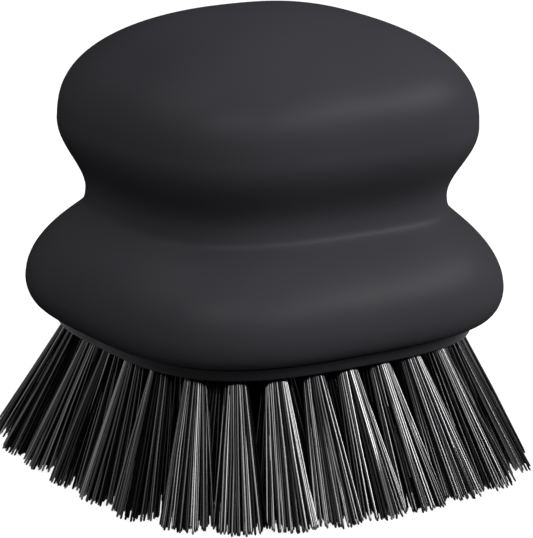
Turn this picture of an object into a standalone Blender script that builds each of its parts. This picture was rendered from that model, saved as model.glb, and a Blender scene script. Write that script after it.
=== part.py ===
"""A palm-sized dish brush: a soft two-lobed grip over a hard core, and a block of bristle tufts below.

Metres, +Z up. The tips stand on z = 0, the block's middle is on the Z axis, and X is the grip's long way.
"""

import math

import bmesh
import bpy
import numpy as np
from mathutils import Matrix, Vector

# Heights, each measured up from the one before, starting at the bristle tips
BRISTLE_HEIGHT = 0.0237
RIM_THICKNESS = 0.0025
FOOT_TO_SKIRT = 0.0052
SKIRT_TO_CREASE = 0.0142
CREASE_TO_WAIST = 0.0024
WAIST_TO_KNOB = 0.0131
KNOB_TO_CROWN = 0.0205

# Half widths of the grip at its four levels
KNOB_HALF_X = 0.0351
KNOB_HALF_Y = 0.0311
WAIST_HALF_X = 0.0304
WAIST_HALF_Y = 0.0260
SKIRT_HALF_X = 0.0401
SKIRT_HALF_Y = 0.0361
TUCK_X = 0.0047
TUCK_Y = 0.0039

# Roundness: 2 is an ellipse, and higher powers are squarer
PLAN_POWER = 3.13
POLE_PLAN_POWER = 2.24
CROWN_POWER_OUT = 2.03
CROWN_POWER_UP = 2.49
TUCK_POWER_OUT = 2.56
TUCK_POWER_DOWN = 1.8
NECK_BIAS = 1.02
SHOULDER_POWER = 2.05
CREASE_SOFTNESS = 0.06

# Walls of the grip and the core, and the clearance between pieces that touch
FIT_GAP = 0.0003
SKIN_THICKNESS = 0.0030
CORE_WALL = 0.0020
LEDGE_HEIGHT = 0.0055
SPIGOT_IN_CORE = 0.0020

# Block: a rim that shows below the grip, and a spigot that fills the grip's mouth
RIM_SETBACK = 0.0007
SPIGOT_SETBACK = 0.0013
EDGE_ROUND = 0.0006

# Four pegs on the block press into four bosses inside the core
PEG_RADIUS = 0.0025
PEG_LENGTH = 0.0080
BOSS_WALL = 0.0017
BOSS_SETBACK = 0.0100

# Tufts: a round root in a blind socket, and strands that fan out to a trimmed tip
ROW_NAMES = ("outer", "second", "third")
ROW_COUNTS = (29, 17, 8)
OUTER_ROW_INSET = 0.0032
SECOND_ROW_INSET = 0.0096
THIRD_ROW_INSET = 0.0172
CENTRE_COUNT = 3
CENTRE_PITCH = 0.0080
ROOT_RADIUS = 0.0020
SOCKET_DEPTH = 0.0060
FLARE_X = 0.0087
FLARE_Y = 0.0129
STRAND_RADIUS = 0.00055
STRAND_TIP_RADIUS = 0.00085
STRANDS_ROUND_CENTRE = 7
STRAND_CIRCLE = 0.00135
TUFT_SPREAD_RATIO = 2.2
TIP_RAGGEDNESS = 0.0012
TRIM_DEPTH = 0.0005

# Facets
PLAN_SIDES = 36
OUTSIDE_STEPS = (8, 6, 8)
INSIDE_STEPS = (6, 4, 5)
TUCK_STEPS = 5
ROOT_SIDES = 8
PEG_SIDES = 12
GOLDEN_TURN = (3 - math.sqrt(5)) / 2

# Levels that follow from the heights
RIM_BOTTOM = BRISTLE_HEIGHT
RIM_TOP = RIM_BOTTOM + RIM_THICKNESS
FOOT = RIM_TOP + FIT_GAP
SKIRT = FOOT + FOOT_TO_SKIRT
CREASE = SKIRT + SKIRT_TO_CREASE
WAIST = CREASE + CREASE_TO_WAIST
KNOB = WAIST + WAIST_TO_KNOB
CROWN = KNOB + KNOB_TO_CROWN
LEDGE = FOOT + LEDGE_HEIGHT
CORE_FOOT = LEDGE + FIT_GAP
BLOCK_TOP = CORE_FOOT + SPIGOT_IN_CORE
BOSS_FOOT = BLOCK_TOP + FIT_GAP

# Widths that follow from the grip's
FOOT_HALF_X = SKIRT_HALF_X - TUCK_X
FOOT_HALF_Y = SKIRT_HALF_Y - TUCK_Y
RIM_HALF_X = FOOT_HALF_X - RIM_SETBACK
RIM_HALF_Y = FOOT_HALF_Y - RIM_SETBACK
SPIGOT_HALF_X = RIM_HALF_X - SPIGOT_SETBACK
SPIGOT_HALF_Y = RIM_HALF_Y - SPIGOT_SETBACK
CORE_INSET = SKIN_THICKNESS + FIT_GAP
CAVITY_INSET = CORE_INSET + CORE_WALL
BOSS_X = WAIST_HALF_X - CAVITY_INSET - BOSS_SETBACK
BOSS_Y = WAIST_HALF_Y - CAVITY_INSET - BOSS_SETBACK
BOSS_PLACES = [(sx * BOSS_X, sy * BOSS_Y) for sx in (-1, 1) for sy in (-1, 1)]
ROW_INSETS = (OUTER_ROW_INSET, SECOND_ROW_INSET, THIRD_ROW_INSET)


def material(name, colour, roughness):
    made = bpy.data.materials.new(name)
    made.use_nodes = True
    shader = made.node_tree.nodes["Principled BSDF"]
    shader.inputs["Base Color"].default_value = (*colour, 1.0)
    shader.inputs["Roughness"].default_value = roughness
    shader.inputs["Metallic"].default_value = 0.0
    return made


def add_object(name, bm, collection, parent, look=None, place=(0, 0, 0)):
    """The bmesh as an object, shaded smooth with its edges kept sharp, in this collection."""
    bmesh.ops.recalc_face_normals(bm, faces=bm.faces)
    mesh = bpy.data.meshes.new(name)
    bm.to_mesh(mesh)
    bm.free()
    if look:
        mesh.materials.append(look)
    mesh.shade_smooth()
    mesh.set_sharp_from_angle(angle=math.radians(40))
    obj = bpy.data.objects.new(name, mesh)
    obj.location = place
    obj.parent = parent
    collection.objects.link(obj)
    return obj


def add_cutter(name, bm, cutters, parent, place=(0, 0, 0)):
    obj = add_object(name, bm, cutters, parent, place=place)
    obj.hide_render = True
    obj.display_type = "WIRE"
    return obj


def combine(obj, other, operation):
    modifier = obj.modifiers.new(other.name, "BOOLEAN")
    modifier.operation = operation
    modifier.solver = "EXACT"
    modifier.object = other


def plan_point(half_x, half_y, angle, power=PLAN_POWER):
    """A point of the rounded-square plan, in the direction of this angle on the unit plan."""
    c, s = math.cos(angle), math.sin(angle)
    reach = (abs(c) ** power + abs(s) ** power) ** (-1 / power)
    return half_x * reach * c, half_y * reach * s


def loft(sections):
    """A closed bmesh through sections (half_x, half_y, z, own plan power if any); no width makes a pole."""
    bm = bmesh.new()
    rings = []
    for half_x, half_y, z, *power in sections:
        if half_x == 0:
            rings.append([bm.verts.new((0, 0, z))])
            continue
        angles = [2 * math.pi * k / PLAN_SIDES for k in range(PLAN_SIDES)]
        rings.append([bm.verts.new((*plan_point(half_x, half_y, a, *power), z)) for a in angles])
    for upper, lower in zip(rings, rings[1:]):
        for k in range(PLAN_SIDES):
            corners = [upper[k % len(upper)], lower[k % len(lower)]]
            corners += [lower[(k + 1) % len(lower)], upper[(k + 1) % len(upper)]]
            bm.faces.new(list(dict.fromkeys(corners)))
    for end in (rings[0], rings[-1]):
        if len(end) > 1:
            bm.faces.new(end)
    return bm


def neck_share(z):
    """How far the neck has drawn in from the knob to the waist at height z, level at both ends."""
    t = min(1.0, (KNOB - z) / WAIST_TO_KNOB)
    return (1 - math.cos(math.pi * t**NECK_BIAS)) / 2


def shoulder_share(z):
    """How far the cushion has spread from waist to skirt at height z: sudden at the crease, then round."""
    t = (CREASE - z) / SKIRT_TO_CREASE
    spread = 1 - (1 - t) ** SHOULDER_POWER if 0 < t < 1 else min(1.0, SHOULDER_POWER * t)
    return (spread + math.hypot(spread, CREASE_SOFTNESS)) / (1 + math.hypot(1, CREASE_SOFTNESS))


def body_section(z, inset):
    """The section at height z of the grip's outside, drawn in by an inset."""
    knob = (KNOB_HALF_X - inset, KNOB_HALF_Y - inset)
    if z > KNOB:
        rise = min(1.0, (z - KNOB) / (KNOB_TO_CROWN - inset))
        share = (1 - rise**CROWN_POWER_UP) ** (1 / CROWN_POWER_OUT)
        power = POLE_PLAN_POWER + (PLAN_POWER - POLE_PLAN_POWER) * share
        return (knob[0] * share, knob[1] * share, z, power)
    narrowing = neck_share(z)
    spread = shoulder_share(z)
    half_x = knob[0] + (WAIST_HALF_X - KNOB_HALF_X) * narrowing
    half_y = knob[1] + (WAIST_HALF_Y - KNOB_HALF_Y) * narrowing
    half_x += (SKIRT_HALF_X - WAIST_HALF_X) * spread
    half_y += (SKIRT_HALF_Y - WAIST_HALF_Y) * spread
    return (half_x, half_y, z)


def body_sections(inset, bottom, steps):
    """Sections of the body drawn in by an inset, from its pole down to this height."""
    crown, neck, shoulder = steps
    rise = KNOB_TO_CROWN - inset
    heights = [KNOB + rise * math.cos(math.pi / 2 * k / crown) for k in range(1, crown)]
    heights += [KNOB - WAIST_TO_KNOB * k / neck for k in range(neck)]
    heights.append(WAIST)
    heights += [CREASE + (bottom - CREASE) * k / shoulder for k in range(shoulder + 1)]
    return [(0, 0, KNOB + rise)] + [body_section(z, inset) for z in heights]


def tuck_sections():
    """The skirt's underside, rounding in from its widest level to the foot."""
    sections = []
    for k in range(1, TUCK_STEPS + 1):
        drop = math.sin(math.pi / 2 * k / TUCK_STEPS)
        share = (1 - drop**TUCK_POWER_DOWN) ** (1 / TUCK_POWER_OUT)
        half_x = FOOT_HALF_X + TUCK_X * share
        half_y = FOOT_HALF_Y + TUCK_Y * share
        sections.append((half_x, half_y, SKIRT - FOOT_TO_SKIRT * drop))
    return sections


def make_grip(parts, frame):
    """Soft skin: its outside down to the foot, its mouth round the spigot, and the core's bed inside."""
    mouth = (SPIGOT_HALF_X + FIT_GAP, SPIGOT_HALF_Y + FIT_GAP)
    outside = body_sections(0, SKIRT, OUTSIDE_STEPS) + tuck_sections()
    bed = body_sections(SKIN_THICKNESS, LEDGE, INSIDE_STEPS)
    sections = outside + [(*mouth, FOOT), (*mouth, LEDGE)] + bed[::-1]
    look = material("soft_touch_charcoal", (0.040, 0.040, 0.043), 0.55)
    return add_object("grip", loft(sections), parts, frame, look)


def posts(radius, sides, bottom, top):
    """Four upright round posts at the boss places."""
    bm = bmesh.new()
    for x, y in BOSS_PLACES:
        bmesh.ops.create_cone(
            bm,
            cap_ends=True,
            segments=sides,
            radius1=radius,
            radius2=radius,
            depth=top - bottom,
            matrix=Matrix.Translation((x, y, (bottom + top) / 2)),
        )
    return bm


def make_core(parts, cutters, frame):
    """Hard shell inside the skin, open below, with four hollow bosses that hang from its roof."""
    look = material("core_black_plastic", (0.03, 0.03, 0.03), 0.5)
    shell = body_sections(CORE_INSET, CORE_FOOT, INSIDE_STEPS)
    core = add_object("core", loft(shell), parts, frame, look)
    inside = body_sections(CAVITY_INSET, BLOCK_TOP, INSIDE_STEPS)
    hollow = add_cutter("core_hollow", loft(inside), cutters, frame)
    bore_radius = PEG_RADIUS + FIT_GAP
    columns = posts(bore_radius + BOSS_WALL, PEG_SIDES, CORE_FOOT, CROWN)
    bosses = add_cutter("core_bosses", columns, cutters, frame)
    combine(hollow, bosses, "DIFFERENCE")
    mouth = (SPIGOT_HALF_X + FIT_GAP, SPIGOT_HALF_Y + FIT_GAP)
    opening = loft([(*mouth, BOSS_FOOT), (*mouth, RIM_BOTTOM)])
    mouth_cut = add_cutter("core_mouth", opening, cutters, frame)
    drills = posts(bore_radius, PEG_SIDES, CORE_FOOT, BLOCK_TOP + PEG_LENGTH + FIT_GAP)
    bores = add_cutter("boss_bores", drills, cutters, frame)
    for cutter in (hollow, mouth_cut, bores):
        combine(core, cutter, "DIFFERENCE")
    return core


def slanted(sides, start, end, start_radius, end_radius, turn=0.0):
    """Settings of a cone with level ends whose middle line runs from start to end."""
    run = Vector(end) - Vector(start)
    middle = (Vector(start) + Vector(end)) / 2
    shear = Matrix.Identity(4)
    shear.col[2] = (*run, 0)
    placed = Matrix.Translation(middle) @ shear @ Matrix.Rotation(turn, 4, "Z")
    return {
        "cap_ends": True,
        "segments": sides,
        "radius1": start_radius,
        "radius2": end_radius,
        "depth": 1,
        "matrix": placed,
    }


def even_places(half_x, half_y, count):
    """Places at an even pitch round the rounded-square plan, the first half a pitch from the X axis."""
    angles = np.linspace(0, 2 * math.pi, 721)
    points = np.array([plan_point(half_x, half_y, a) for a in angles])
    walked = np.concatenate([[0], np.cumsum(np.hypot(*np.diff(points, axis=0).T))])
    stops = (np.arange(count) + 0.5) * walked[-1] / count
    found = np.interp(stops, walked, angles)
    return [plan_point(half_x, half_y, a) for a in found]


def tuft_places():
    """(name, x, y) of every tuft's root on the block's underside."""
    places = []
    for name, count, inset in zip(ROW_NAMES, ROW_COUNTS, ROW_INSETS):
        ring = even_places(RIM_HALF_X - inset, RIM_HALF_Y - inset, count)
        places += [(f"tuft_{name}_{k + 1:02d}", x, y) for k, (x, y) in enumerate(ring)]
    for k in range(CENTRE_COUNT):
        places.append((f"tuft_centre_{k + 1:02d}", (k - (CENTRE_COUNT - 1) / 2) * CENTRE_PITCH, 0.0))
    return places


def lean(x, y):
    """How far a tuft at this place moves out for each metre that it runs down."""
    out_x = FLARE_X / (RIM_HALF_X - OUTER_ROW_INSET) / BRISTLE_HEIGHT
    out_y = FLARE_Y / (RIM_HALF_Y - OUTER_ROW_INSET) / BRISTLE_HEIGHT
    return Vector((x * out_x, y * out_y, -1))


def make_block(parts, cutters, frame):
    """Rim and spigot in one moulding, with pegs on top and a slanted blind socket for each tuft below."""
    spigot = (SPIGOT_HALF_X, SPIGOT_HALF_Y)
    rim = (RIM_HALF_X, RIM_HALF_Y)
    sections = [
        (spigot[0] - EDGE_ROUND, spigot[1] - EDGE_ROUND, BLOCK_TOP),
        (*spigot, BLOCK_TOP - EDGE_ROUND),
        (*spigot, RIM_TOP),
        (rim[0] - EDGE_ROUND, rim[1] - EDGE_ROUND, RIM_TOP),
        (*rim, RIM_TOP - EDGE_ROUND),
        (*rim, RIM_BOTTOM + EDGE_ROUND),
        (rim[0] - EDGE_ROUND, rim[1] - EDGE_ROUND, RIM_BOTTOM),
    ]
    look = material("block_black_plastic", (0.018, 0.018, 0.020), 0.45)
    block = add_object("tuft_block", loft(sections), parts, frame, look)
    pegs = posts(PEG_RADIUS, PEG_SIDES, BLOCK_TOP - EDGE_ROUND, BLOCK_TOP + PEG_LENGTH)
    combine(block, add_cutter("block_pegs", pegs, cutters, frame), "UNION")
    sockets = bmesh.new()
    socket_radius = ROOT_RADIUS + FIT_GAP
    for _, x, y in tuft_places():
        mouth = Vector((x, y, RIM_BOTTOM))
        slope = lean(x, y)
        ends = mouth - slope * SOCKET_DEPTH, mouth + slope * SOCKET_DEPTH
        bmesh.ops.create_cone(sockets, **slanted(ROOT_SIDES, *ends, socket_radius, socket_radius))
    combine(block, add_cutter("block_sockets", sockets, cutters, frame), "DIFFERENCE")
    return block


def tip_height(number, middle):
    """Height of a strand's tip: ragged except in the middle, and trimmed flat where it would pass z = 0."""
    raggedness = 0.0 if middle else number * GOLDEN_TURN % 1
    return max(0.0, raggedness * (TIP_RAGGEDNESS + TRIM_DEPTH) - TRIM_DEPTH)


def strand_offsets():
    """Offsets of a tuft's strands from its middle at the root: one in the middle and the rest round it."""
    step = 2 * math.pi / STRANDS_ROUND_CENTRE
    ring = [Vector((math.cos(k * step), math.sin(k * step), 0)) for k in range(STRANDS_ROUND_CENTRE)]
    return [Vector((0, 0, 0))] + [STRAND_CIRCLE * v for v in ring]


def make_tuft(name, x, y, first_strand, parts, cutters, frame, look):
    """A root in its socket and the strands that leave it, built round the root's place on the block."""
    slope = lean(x, y)
    root = bmesh.new()
    root_top = -slope * (SOCKET_DEPTH - FIT_GAP)
    bmesh.ops.create_cone(root, **slanted(ROOT_SIDES, (0, 0, 0), root_top, ROOT_RADIUS, ROOT_RADIUS))
    tuft = add_object(name, root, parts, frame, look, place=(x, y, RIM_BOTTOM))
    strands = bmesh.new()
    for k, offset in enumerate(strand_offsets()):
        number = first_strand + k
        run = slope + offset * (TUFT_SPREAD_RATIO - 1) / BRISTLE_HEIGHT
        end = offset + run * (BRISTLE_HEIGHT - tip_height(number, k == 0))
        start = offset - run * STRAND_RADIUS
        turn = 2 * math.pi * GOLDEN_TURN * number
        bmesh.ops.create_cone(strands, **slanted(3, start, end, STRAND_RADIUS, STRAND_TIP_RADIUS, turn))
    fan = add_cutter(name + "_strands", strands, cutters, frame, place=(x, y, RIM_BOTTOM))
    combine(tuft, fan, "UNION")
    return tuft


def main():
    for obj in list(bpy.data.objects):
        bpy.data.objects.remove(obj)
    parts = bpy.data.collections.new("dish_brush")
    cutters = bpy.data.collections.new("cutters")
    for collection in (parts, cutters):
        bpy.context.scene.collection.children.link(collection)
    frame = bpy.data.objects.new("brush_frame", None)
    parts.objects.link(frame)
    make_grip(parts, frame)
    make_core(parts, cutters, frame)
    make_block(parts, cutters, frame)
    bristle = material("bristle_black_nylon", (0.012, 0.012, 0.013), 0.3)
    for index, (name, x, y) in enumerate(tuft_places()):
        first_strand = index * (STRANDS_ROUND_CENTRE + 1)
        make_tuft(name, x, y, first_strand, parts, cutters, frame, bristle)


main()
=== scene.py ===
import math

import bmesh
import bpy
import numpy as np
from mathutils import Matrix, Vector


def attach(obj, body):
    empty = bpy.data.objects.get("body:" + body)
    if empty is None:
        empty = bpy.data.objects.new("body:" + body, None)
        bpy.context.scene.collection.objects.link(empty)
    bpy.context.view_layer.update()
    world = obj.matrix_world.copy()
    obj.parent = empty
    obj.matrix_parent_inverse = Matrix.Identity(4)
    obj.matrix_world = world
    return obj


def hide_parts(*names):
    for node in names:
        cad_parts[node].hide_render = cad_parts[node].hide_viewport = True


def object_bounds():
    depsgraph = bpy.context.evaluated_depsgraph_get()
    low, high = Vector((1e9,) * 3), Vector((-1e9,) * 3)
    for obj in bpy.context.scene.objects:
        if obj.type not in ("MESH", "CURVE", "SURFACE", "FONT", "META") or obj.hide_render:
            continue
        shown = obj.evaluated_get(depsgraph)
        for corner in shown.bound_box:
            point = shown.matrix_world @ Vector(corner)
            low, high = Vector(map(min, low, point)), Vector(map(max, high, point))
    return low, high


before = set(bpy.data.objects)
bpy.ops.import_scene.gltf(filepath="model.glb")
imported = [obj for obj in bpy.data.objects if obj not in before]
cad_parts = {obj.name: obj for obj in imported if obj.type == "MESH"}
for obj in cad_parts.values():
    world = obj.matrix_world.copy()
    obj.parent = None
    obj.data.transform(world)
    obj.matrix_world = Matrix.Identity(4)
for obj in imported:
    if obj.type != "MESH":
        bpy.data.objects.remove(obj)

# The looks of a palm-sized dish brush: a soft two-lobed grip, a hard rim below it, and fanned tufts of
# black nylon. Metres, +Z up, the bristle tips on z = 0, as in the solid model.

CAD_BOX = [list(corner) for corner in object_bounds()]

# Heights of the brush, from its bristle tips up
RIM_BOTTOM = 0.0237
RIM_TOP = 0.0260
FOOT = 0.0265
SKIRT = 0.0317
LEDGE = 0.0320
BLOCK_TOP = 0.0343
CREASE = 0.0459
WAIST = 0.0483
KNOB = 0.0614
CROWN = 0.0819

# Half widths (along x, along y) at those heights
KNOB_HALF = (0.0351, 0.0311)
WAIST_HALF = (0.0304, 0.0260)
SKIRT_HALF = (0.0401, 0.0361)
FOOT_HALF = (0.0354, 0.0322)
MOUTH_HALF = (0.0337, 0.0305)
RIM_HALF = (0.0347, 0.0315)
SPIGOT_HALF = (0.0334, 0.0302)

# Thickness of the soft skin, and how far the block's edges and the rim's lip are rounded
SKIN = 0.0030
EDGE_ROUND = 0.0006
LIP_ROUND = 0.0004

# Roundness of the plan, the crown, the tuck and the shoulder: 2 is an ellipse, and higher powers are squarer
PLAN_POWER = 3.13
POLE_POWER = 2.24
CROWN_POWERS = (2.49, 2.03)
TUCK_POWERS = (1.8, 2.56)
SHOULDER_POWER = 2.05

# How the neck's narrowing leans to one end, and how softly the crease turns
NECK_BIAS = 1.02
CREASE_SOFTNESS = 0.16

# How finely the grip and the block are cut: round the plan, along the grip's stretches from the crown down,
# and round an edge of the block
PLAN_STEPS = 160
OUTSIDE_STEPS = (44, 22, 30, 24)
BED_STEPS = (14, 8, 4, 8)
TUCK_STEPS = 16
EDGE_STEPS = 5

# The finest stretch starts this far below the waist and ends this far below the crease
BELOW_WAIST = 0.0008
BELOW_CREASE = 0.0016

# Points closer than this are one point
SAME_PLACE = 1e-7

# Edges stay hard where two faces meet at more than this many degrees
GRIP_CREASE = 50
BLOCK_CREASE = 35
FILAMENT_CREASE = 80

# Rows of tufts: how many tufts stand in each, and how far in from the rim's side
ROWS = {"outer": (29, 0.0032), "second": (17, 0.0096), "third": (8, 0.0172)}
CENTRE_TUFTS = 3
CENTRE_PITCH = 0.0080

# Steps in which the path of a row is measured
PATH_STEPS = 720

# How far the tips of the outer row stand out past its roots (along x, along y)
FLARE = (0.0087, 0.0129)

# How many times wider a tuft is at the tips than at the root (along its row, across it)
OUTER_FAN = (2.5, 2.1)
INNER_FAN = (3.6, 2.6)

# Sockets in the block; the cutters are turned so that none of their corners lies on an edge of the block
SOCKET_RADIUS = 0.0023
SOCKET_DEPTH = 0.0060
SOCKET_SIDES = 24
CUTTER_TURN = math.radians(4)
ROOT_CLEARANCE = 0.0004

# Filaments: thickness, how they are packed and cut, and how far they stray and bend
FILAMENT_RADIUS = 0.00022
FILAMENT_PITCH = 0.00035
FILAMENT_RINGS = 5
FILAMENT_SIDES = 5
FILAMENT_STRETCHES = 5
SCATTER = 0.0003
BOW = 0.00012

# Trimmed tips: how they are rounded, and how uneven the trim is from tuft to tuft and within one, where
# higher powers leave fewer short filaments
TIP_ROUND = 0.0002
TIP_SHARE = 0.55
TRIM_WAVE = 0.0004
TRIM_ROUGHNESS = 0.0004
RAGGED_POWER = 3

# Seed of the first tuft's random draws; each further tuft adds one to it
FIRST_SEED = 100

# Lamps: degrees to the camera's right, degrees up, width and height in metres, and strength
LAMPS = {
    "key_right": (60, 31, 0.6, 0.18, 12),
    "side_right": (97, 29, 0.6, 0.18, 29),
    "front_top": (0, 43, 0.8, 0.3, 5.2),
    "back_left": (-95, 55, 0.8, 0.8, 2.7),
}

# What the lamps face, how far off they stand, and the soft light from all round
LAMPS_FACE = Vector((0, 0, 0.045))
LAMP_DISTANCE = 0.9
WORLD_FILL = 0.03

# White floor: half its width, its glow, and the radii between which the glow sets in round the tufts; inside
# them the glow is off, a painted shadow under the brush
FLOOR_HALF = 6
FLOOR_GLOW = 0.90
PAINTED_SHADOW_RADII = (0.026, 0.036)

# Photograph's camera, fitted to the outline
LOOK_AT = Vector((0, 0, 0.03375))
CAMERA_DISTANCE = 0.557
CAMERA_TURN = math.radians(34.28)
CAMERA_RISE = math.radians(15.62)
CAMERA_ROLL = math.radians(1.363)
CAMERA_SIDESTEP = 0.00039
CAMERA_LENS = 205.36


# Shader maths and nodes


class Value:
    """A number that varies over a surface. Sums, products and powers of it add Math nodes."""

    def __init__(self, finish, socket):
        self.finish = finish
        self.socket = socket

    def math(self, operation, *values):
        return self.finish.value("ShaderNodeMath", {"operation": operation}, *values)

    def __add__(self, other):
        return self.math("ADD", self, other)

    def __rsub__(self, other):
        return self.math("SUBTRACT", other, self)

    def __mul__(self, other):
        return self.math("MULTIPLY", self, other)

    def __pow__(self, other):
        return self.math("POWER", self, other)

    __radd__ = __add__
    __rmul__ = __mul__


class Finish:
    """A node tree that is being wired up."""

    def __init__(self, tree):
        self.tree = tree

    def node(self, kind, settings, *inputs, **named):
        """Adds a node, sets what it is first, and then fills its sockets by place or by name."""
        made = self.tree.nodes.new(kind)
        for name, setting in settings.items():
            setattr(made, name, setting)
        for key, given in [*enumerate(inputs), *named.items()]:
            if isinstance(key, str):
                key = key.replace("_", " ")
            if isinstance(given, Value):
                self.tree.links.new(given.socket, made.inputs[key])
            else:
                made.inputs[key].default_value = given
        return made

    def value(self, kind, settings, *inputs, output=0, **named):
        return Value(self, self.node(kind, settings, *inputs, **named).outputs[output])

    def place(self):
        """Where a point lies on the piece."""
        return self.value("ShaderNodeTexCoord", {}, output="Object")

    def noise(self, scale, detail):
        """Soft mottling with this many blotches a metre, from 0 to 1, fixed to the piece."""
        return self.value("ShaderNodeTexNoise", {}, Vector=self.place(), Scale=scale, Detail=detail)

    def blend(self, share, first, second):
        """A colour between two colours."""
        mix = self.node("ShaderNodeMix", {"data_type": "RGBA"}, share)
        for socket, colour in zip([s for s in mix.inputs if s.type == "RGBA"], (first, second)):
            socket.default_value = (*colour, 1)
        return Value(self, next(s for s in mix.outputs if s.type == "RGBA"))

    def bump(self, height, depth):
        return self.value("ShaderNodeBump", {}, Strength=1.0, Distance=depth, Height=height)


def new_finish(name):
    """A material with its node tree and its Principled shader."""
    made = bpy.data.materials.new(name)
    made.use_nodes = True
    finish = Finish(made.node_tree)
    shader = made.node_tree.nodes["Principled BSDF"]
    return made, finish, shader


def feed(finish, shader, **sockets):
    """Sets or links the shader's own sockets; names use _ for spaces."""
    for name, given in sockets.items():
        socket = shader.inputs[name.replace("_", " ")]
        if isinstance(given, Value):
            finish.tree.links.new(given.socket, socket)
        else:
            socket.default_value = given


def soft_touch_rubber():
    """Grip skin: dark charcoal elastomer, matt from a spark-eroded mould, with faint smudges from hands."""
    made, finish, shader = new_finish("soft_touch_rubber")
    smudges = finish.noise(55.0, 3.0)
    grain = finish.noise(2600.0, 2.0)
    facing = finish.value("ShaderNodeLayerWeight", {}, output="Facing")
    feed(
        finish,
        shader,
        Base_Color=finish.blend(smudges, (0.0235, 0.0230, 0.0265), (0.0270, 0.0265, 0.0305)),
        Roughness=0.45 + smudges * 0.10,
        Normal=finish.bump(grain, 0.00001),
        Specular_IOR_Level=0.0,
        Coat_Weight=0.13 * (1 - facing) ** 2,
        Coat_Roughness=0.42,
    )
    return made


def rim_plastic():
    """Rim and block: hard black polypropylene, satin, with a fine mould grain."""
    made, finish, shader = new_finish("rim_plastic")
    cloud = finish.noise(120.0, 2.0)
    grain = finish.noise(1800.0, 2.0)
    feed(
        finish,
        shader,
        Base_Color=finish.blend(cloud, (0.011, 0.011, 0.013), (0.015, 0.015, 0.017)),
        Roughness=0.40 + cloud * 0.10,
        Normal=finish.bump(grain, 0.000006),
        Specular_IOR_Level=0.05,
    )
    return made


def core_plastic():
    """Core: hard black moulding that the skin covers, left as it comes from a coarse mould."""
    made, finish, shader = new_finish("core_plastic")
    cloud = finish.noise(90.0, 2.0)
    grain = finish.noise(900.0, 3.0)
    feed(
        finish,
        shader,
        Base_Color=finish.blend(cloud, (0.022, 0.022, 0.022), (0.032, 0.032, 0.033)),
        Roughness=0.45 + cloud * 0.15,
        Normal=finish.bump(grain, 0.00002),
    )
    return made


def bristle_nylon():
    """Filaments: extruded black nylon, glossy, each one a little different in tone and polish."""
    made, finish, shader = new_finish("bristle_nylon")
    strand = finish.value("ShaderNodeAttribute", {"attribute_name": "strand"}, output="Fac")
    draw = finish.noise(700.0, 1.0)
    feed(
        finish,
        shader,
        Base_Color=finish.blend(strand, (0.002, 0.002, 0.002), (0.012, 0.011, 0.013)),
        Roughness=0.12 + strand * 0.08 + draw * 0.05,
        Specular_IOR_Level=0.0,
        Coat_Weight=strand**2,
        Coat_Roughness=0.07,
        Coat_IOR=2.05,
    )
    return made


# Shapes of the brush


def plan_point(half_x, half_y, angle, power=PLAN_POWER):
    """A point of the rounded-square plan, in the direction of this angle on the unit plan."""
    c, s = math.cos(angle), math.sin(angle)
    reach = (abs(c) ** power + abs(s) ** power) ** (-1 / power)
    return half_x * reach * c, half_y * reach * s


def between(first, second, share):
    return tuple(a + (b - a) * share for a, b in zip(first, second))


def shoulder_share(z):
    """How far the cushion has spread from waist to skirt at height z: sudden at the crease, then round."""
    t = (CREASE - z) / (CREASE - SKIRT)
    spread = 1 - (1 - t) ** SHOULDER_POWER if 0 < t < 1 else min(1.0, SHOULDER_POWER * t)
    return (spread + math.hypot(spread, CREASE_SOFTNESS)) / (1 + math.hypot(1, CREASE_SOFTNESS))


def body_section(z, inset):
    """(half_x, half_y, z, plan power) of the grip's outside at this height, drawn in by an inset."""
    knob = tuple(h - inset for h in KNOB_HALF)
    if z > KNOB:
        rise = min(1.0, (z - KNOB) / (CROWN - KNOB - inset))
        share = (1 - rise ** CROWN_POWERS[0]) ** (1 / CROWN_POWERS[1])
        return (knob[0] * share, knob[1] * share, z, POLE_POWER + (PLAN_POWER - POLE_POWER) * share)
    t = min(1.0, (KNOB - z) / (KNOB - WAIST)) ** NECK_BIAS
    narrowing = (1 - math.cos(math.pi * t)) / 2
    spread = shoulder_share(z)
    halves = [
        top + (waist - whole) * narrowing + (skirt - waist) * spread
        for top, whole, waist, skirt in zip(knob, KNOB_HALF, WAIST_HALF, SKIRT_HALF)
    ]
    return (*halves, z, PLAN_POWER)


def body_sections(inset, bottom, crown, neck, fillet, shoulder):
    """Sections of the body, drawn in by an inset, from its pole down to this height, in steps a stretch."""
    rise = CROWN - KNOB - inset
    fine_top, fine_end = WAIST - BELOW_WAIST, CREASE - BELOW_CREASE
    heights = [KNOB + rise * math.cos(math.pi / 2 * (k / crown)) for k in range(1, crown)]
    heights += [KNOB + (fine_top - KNOB) * k / neck for k in range(neck)]
    heights += [fine_top + (fine_end - fine_top) * k / fillet for k in range(fillet)]
    heights += [fine_end + (bottom - fine_end) * k / shoulder for k in range(shoulder + 1)]
    return [(0, 0, KNOB + rise, POLE_POWER)] + [body_section(z, inset) for z in heights]


def tuck_sections():
    """The cushion's underside, rounding in from its widest level to the foot."""
    sections = []
    for k in range(1, TUCK_STEPS + 1):
        drop = math.sin(math.pi / 2 * k / TUCK_STEPS)
        share = (1 - drop ** TUCK_POWERS[0]) ** (1 / TUCK_POWERS[1])
        sections.append((*between(FOOT_HALF, SKIRT_HALF, share), SKIRT + (FOOT - SKIRT) * drop, PLAN_POWER))
    return sections


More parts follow.
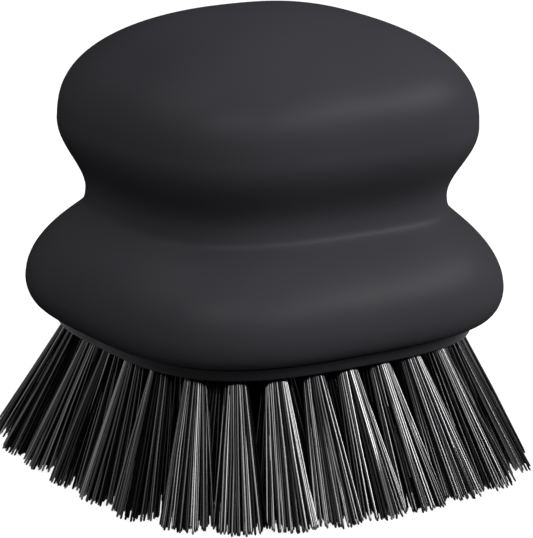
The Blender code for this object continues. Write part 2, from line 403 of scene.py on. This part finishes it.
def spun(sections):
    """A closed skin through sections (half_x, half_y, z, plan power): a line, spun and then squared off."""
    bm = bmesh.new()
    depth = bm.verts.layers.float.new("depth")
    squareness = bm.verts.layers.float.new("squareness")
    line = []
    for half_x, half_y, z, power in sections:
        vert = bm.verts.new((half_x, 0, z))
        vert[depth] = half_y / half_x if half_x else 1.0
        vert[squareness] = power
        line.append(vert)
    edges = [bm.edges.new(pair) for pair in zip(line, line[1:])]
    bmesh.ops.spin(
        bm,
        geom=line + edges,
        cent=(0, 0, 0),
        axis=(0, 0, 1),
        angle=2 * math.pi,
        steps=PLAN_STEPS,
        use_merge=True,
    )
    for vert in bm.verts:
        half_x = math.hypot(vert.co.x, vert.co.y)
        if half_x > SAME_PLACE:
            angle = math.atan2(vert.co.y, vert.co.x)
            vert.co.x, vert.co.y = plan_point(half_x, half_x * vert[depth], angle, vert[squareness])
    bmesh.ops.remove_doubles(bm, verts=bm.verts, dist=SAME_PLACE)
    for name in ("depth", "squareness"):
        bm.verts.layers.float.remove(bm.verts.layers.float[name])
    bmesh.ops.recalc_face_normals(bm, faces=bm.faces)
    return bm


def add_piece(name, bm, look, node, crease):
    """The bmesh as a smooth piece that stands for this node; edges sharper than its crease stay hard."""
    mesh = bpy.data.meshes.new(name)
    bm.to_mesh(mesh)
    bm.free()
    mesh.materials.append(look)
    mesh.shade_smooth()
    mesh.set_sharp_from_angle(angle=math.radians(crease))
    piece = bpy.data.objects.new(name, mesh)
    bpy.context.scene.collection.objects.link(piece)
    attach(piece, "root")
    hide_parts(node)
    return piece


def make_grip(look):
    """Soft skin: two lobes with a finger groove between them, the block's mouth, and the bed of the core."""
    outside = body_sections(0, SKIRT, *OUTSIDE_STEPS) + tuck_sections()
    mouth = [(*MOUTH_HALF, z, PLAN_POWER) for z in (FOOT, LEDGE)]
    bed = body_sections(SKIN, LEDGE, *BED_STEPS)
    sections = outside + mouth + bed[::-1]
    add_piece("grip_skin", spun(sections), look, "grip", GRIP_CREASE)


def even_places(half_x, half_y, count):
    """Places at an even pitch round the rounded-square plan, the first half a pitch from the X axis."""
    angles = np.linspace(0, 2 * math.pi, PATH_STEPS + 1)
    points = np.array([plan_point(half_x, half_y, a) for a in angles])
    walked = np.concatenate([[0], np.cumsum(np.hypot(*np.diff(points, axis=0).T))])
    stops = (np.arange(count) + 0.5) * walked[-1] / count
    return [plan_point(half_x, half_y, a) for a in np.interp(stops, walked, angles)]


def tuft_places():
    """(name, x, y) of every tuft's root on the block's underside."""
    places = []
    for name, (count, inset) in ROWS.items():
        ring = even_places(RIM_HALF[0] - inset, RIM_HALF[1] - inset, count)
        places += [(f"{name}_{k + 1:02d}", x, y) for k, (x, y) in enumerate(ring)]
    for k in range(CENTRE_TUFTS):
        places.append((f"centre_{k + 1:02d}", (k - CENTRE_TUFTS // 2) * CENTRE_PITCH, 0.0))
    return places


def lean(x, y):
    """How far a tuft at this place moves out for each metre that it runs down."""
    outer_inset = ROWS["outer"][1]
    out_x, out_y = [flare / (half - outer_inset) / RIM_BOTTOM for flare, half in zip(FLARE, RIM_HALF)]
    return Vector((x * out_x, y * out_y, -1))


def rounded_edge(halves, middle, out, up, first, last):
    """Sections round an edge, whose curve has this middle height: 0 degrees is up, 90 out and 180 down."""
    sections = []
    for degrees in np.linspace(first, last, EDGE_STEPS + 1):
        turn = math.radians(degrees)
        inset = out * (1 - math.sin(turn))
        sections.append((halves[0] - inset, halves[1] - inset, middle + up * math.cos(turn), PLAN_POWER))
    return sections


def rim_sections():
    """The block's profile from the spigot's top to the rim's underside, its edges rounded."""
    return [
        (0, 0, BLOCK_TOP, PLAN_POWER),
        *rounded_edge(SPIGOT_HALF, BLOCK_TOP - EDGE_ROUND, EDGE_ROUND, EDGE_ROUND, 0, 90),
        (*SPIGOT_HALF, RIM_TOP, PLAN_POWER),
        *rounded_edge(RIM_HALF, RIM_TOP - LIP_ROUND, EDGE_ROUND, LIP_ROUND, 0, 90),
        *rounded_edge(RIM_HALF, RIM_BOTTOM + EDGE_ROUND, EDGE_ROUND, EDGE_ROUND, 90, 180),
        (0, 0, RIM_BOTTOM, PLAN_POWER),
    ]


def make_block(look):
    """Rim and spigot in one moulding, with a slanted blind socket for each tuft below."""
    sockets = bmesh.new()
    for _, x, y in tuft_places():
        slope = lean(x, y)
        shear = Matrix.Identity(4)
        shear.col[2] = (*(slope * 2 * SOCKET_DEPTH), 0)
        bmesh.ops.create_cone(
            sockets,
            cap_ends=True,
            segments=SOCKET_SIDES,
            radius1=SOCKET_RADIUS,
            radius2=SOCKET_RADIUS,
            depth=1,
            matrix=Matrix.Translation((x, y, RIM_BOTTOM)) @ shear @ Matrix.Rotation(CUTTER_TURN, 4, "Z"),
        )
    bmesh.ops.recalc_face_normals(sockets, faces=sockets.faces)
    tool_mesh = bpy.data.meshes.new("socket_cutters")
    sockets.to_mesh(tool_mesh)
    sockets.free()
    tool = bpy.data.objects.new("socket_cutters", tool_mesh)
    bpy.context.scene.collection.objects.link(tool)
    block = add_piece("rim_block", spun(rim_sections()), look, "tuft_block", BLOCK_CREASE)
    cut = block.modifiers.new("sockets", "BOOLEAN")
    cut.operation = "DIFFERENCE"
    cut.solver = "EXACT"
    cut.object = tool
    bpy.context.view_layer.update()
    drilled = bpy.data.meshes.new_from_object(block.evaluated_get(bpy.context.evaluated_depsgraph_get()))
    block.modifiers.clear()
    block.data = drilled
    drilled.shade_smooth()
    drilled.set_sharp_from_angle(angle=math.radians(BLOCK_CREASE))
    bpy.data.objects.remove(tool)


def rod_mesh():
    """A filament before it is placed: a rod of radius 1 from z = 1 down to z = 0, cut where it can bend."""
    bm = bmesh.new()
    bmesh.ops.create_cone(
        bm,
        cap_ends=True,
        segments=FILAMENT_SIDES,
        radius1=1,
        radius2=1,
        depth=1,
        matrix=Matrix.Translation((0, 0, 0.5)),
    )
    for cut in range(1, FILAMENT_STRETCHES):
        geometry = bm.verts[:] + bm.edges[:] + bm.faces[:]
        height = cut / FILAMENT_STRETCHES
        bmesh.ops.bisect_plane(bm, geom=geometry, plane_co=(0, 0, height), plane_no=(0, 0, 1))
    rod = bpy.data.meshes.new("rod")
    bm.to_mesh(rod)
    bm.free()
    return rod


def packed_circle(rings, pitch):
    """Middles of filaments packed in a round hole: one in the middle, and rings of 6, 12 and so on."""
    middles = [Vector((0, 0, 0))]
    for ring in range(1, rings + 1):
        for k in range(6 * ring):
            turn = 2 * math.pi * (k + 0.5 * (ring % 2)) / (6 * ring)
            middles.append(Vector((math.cos(turn), math.sin(turn), 0)) * pitch * ring)
    return middles


def make_tuft(name, x, y, rod, look, chance):
    """Filaments that fill one socket, fan out evenly and end in a ragged trim, within the solids' box."""
    low, high = CAD_BOX
    slope = lean(x, y)
    mouth = Vector((x, y, RIM_BOTTOM))
    trim = chance.uniform(0, TRIM_WAVE)
    turn = Matrix.Rotation(chance.uniform(0, math.pi), 3, "Z")
    outward = Vector((slope.x, slope.y, 0)).normalized()
    along_row, across_row = OUTER_FAN if name.startswith("outer") else INNER_FAN
    bm = bmesh.new()
    strand = bm.verts.layers.float.new("strand")
    for number, offset in enumerate(packed_circle(FILAMENT_RINGS, FILAMENT_PITCH)):
        before = len(bm.verts)
        bm.from_mesh(rod)
        bm.verts.ensure_lookup_table()
        offset = turn @ offset
        scatter = Vector((*chance.normal(0, SCATTER, 2), 0))
        bow = Vector((*chance.normal(0, BOW, 2), 0))
        end_height = trim + TRIM_ROUGHNESS * chance.uniform(0, 1) ** RAGGED_POWER if number else 0.0
        length = RIM_BOTTOM - end_height
        root, tip = ROOT_CLEARANCE - SOCKET_DEPTH, length - TIP_ROUND
        stops = (root, 0.0, length / 2, length - 3 * TIP_ROUND, tip, length)
        tone = chance.uniform(0, 1)
        for vert in bm.verts[before:]:
            level = round((1 - vert.co.z) * FILAMENT_STRETCHES)
            down = stops[level]
            share = max(0.0, down) / RIM_BOTTOM
            across = outward * offset.dot(outward)
            middle = mouth + slope * down + offset + (offset - across) * (along_row - 1) * share
            middle += across * (across_row - 1) * share
            middle += scatter * share + bow * math.sin(math.pi * share)
            width = FILAMENT_RADIUS * (TIP_SHARE if level == FILAMENT_STRETCHES else 1.0)
            middle.x = min(max(middle.x, low[0] + width), high[0] - width)
            middle.y = min(max(middle.y, low[1] + width), high[1] - width)
            vert.co = middle + Vector((vert.co.x, vert.co.y, 0)) * width
            vert[strand] = tone
    add_piece("bristles_" + name, bm, look, "tuft_" + name, FILAMENT_CREASE)


def make_brush():
    make_grip(soft_touch_rubber())
    make_block(rim_plastic())
    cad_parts["core"].data.materials[0] = core_plastic()
    nylon = bristle_nylon()
    rod = rod_mesh()
    for index, (name, x, y) in enumerate(tuft_places()):
        make_tuft(name, x, y, rod, nylon, np.random.RandomState(FIRST_SEED + index))


# Studio and camera


def seen_from(right_degrees, up_degrees):
    """Direction towards a place so far right of the photograph's camera and so far above the floor."""
    turn = CAMERA_TURN - math.radians(right_degrees)
    rise = math.radians(up_degrees)
    return Vector((-math.sin(turn) * math.cos(rise), -math.cos(turn) * math.cos(rise), math.sin(rise)))


def softbox(name, right_degrees, up_degrees, width, height, strength):
    """A flat soft lamp that faces the brush."""
    direction = seen_from(right_degrees, up_degrees)
    lamp = bpy.data.lights.new(name, "AREA")
    lamp.shape = "RECTANGLE"
    lamp.size = width
    lamp.size_y = height
    lamp.energy = strength * math.pi * width * height
    made = bpy.data.objects.new(name, lamp)
    made.location = LAMPS_FACE + direction * LAMP_DISTANCE
    made.rotation_euler = (-direction).to_track_quat("-Z", "Y").to_euler()
    bpy.context.scene.collection.objects.link(made)


def background_rays(finish):
    """1 for the rays that should see the white background: the camera's, and reflected or refracted ones."""
    path = finish.node("ShaderNodeLightPath", {})
    camera, glossy, through = (
        Value(finish, path.outputs[name])
        for name in ("Is Camera Ray", "Is Glossy Ray", "Is Transmission Ray")
    )
    return camera.math("MAXIMUM", camera, glossy.math("MAXIMUM", glossy, through))


def white_world(fill):
    """White where it is seen or reflected, and a soft fill of this strength as a lamp."""
    world = bpy.data.worlds.new("studio")
    world.use_nodes = True
    bpy.context.scene.world = world
    finish = Finish(world.node_tree)
    shown = background_rays(finish)
    backdrop = world.node_tree.nodes["Background"]
    backdrop.inputs["Color"].default_value = (1, 1, 1, 1)
    world.node_tree.links.new((fill + shown * (1 - fill)).socket, backdrop.inputs["Strength"])


def white_floor():
    """A wide pale sheet that shows as white and keeps a faint shadow, with a painted shadow under the tufts:
    its glow is off there, so it is dark between them.
    """
    bm = bmesh.new()
    bmesh.ops.create_grid(bm, x_segments=1, y_segments=1, size=FLOOR_HALF)
    mesh = bpy.data.meshes.new("floor")
    bm.to_mesh(mesh)
    bm.free()
    look, finish, shader = new_finish("floor_paper")
    fibre = finish.noise(40.0, 2.0)
    radius = finish.value("ShaderNodeVectorMath", {"operation": "LENGTH"}, finish.place(), output="Value")
    inner, outer = PAINTED_SHADOW_RADII
    outside_painted_shadow = finish.value("ShaderNodeMapRange", {}, radius, From_Min=inner, From_Max=outer)
    feed(
        finish,
        shader,
        Base_Color=finish.blend(fibre, (0.19, 0.19, 0.19), (0.21, 0.21, 0.21)),
        Roughness=0.9,
        Specular_IOR_Level=0.0,
        # Painted shadow: the glow is black in a round patch under the tufts and fades to white between the
        # two radii
        Emission_Color=finish.blend(outside_painted_shadow, (0, 0, 0), (1, 1, 1)),
        Emission_Strength=background_rays(finish) * FLOOR_GLOW,
    )
    mesh.materials.append(look)
    floor = bpy.data.objects.new("floor", mesh)
    bpy.context.scene.collection.objects.link(floor)


def add_camera():
    """The photograph's viewpoint."""
    back = seen_from(0, math.degrees(CAMERA_RISE))
    right = Vector((math.cos(CAMERA_TURN), -math.sin(CAMERA_TURN), 0))
    up = back.cross(right)
    place = LOOK_AT + back * CAMERA_DISTANCE + right * CAMERA_SIDESTEP
    c, s = math.cos(CAMERA_ROLL), math.sin(CAMERA_ROLL)
    axes = Matrix((right * c + up * s, up * c - right * s, back)).transposed()
    lens = bpy.data.cameras.new("camera")
    lens.sensor_width = 36
    lens.lens = CAMERA_LENS
    lens.clip_start = 0.01
    camera = bpy.data.objects.new("camera", lens)
    camera.matrix_world = Matrix.Translation(place) @ axes.to_4x4()
    bpy.context.scene.collection.objects.link(camera)
    bpy.context.scene.camera = camera


def light_studio():
    white_world(WORLD_FILL)
    white_floor()
    for name, settings in LAMPS.items():
        softbox(name, *settings)


make_brush()
light_studio()
add_camera()
bpy.context.scene.view_settings.view_transform = "Standard"
bpy.context.view_layer.update()
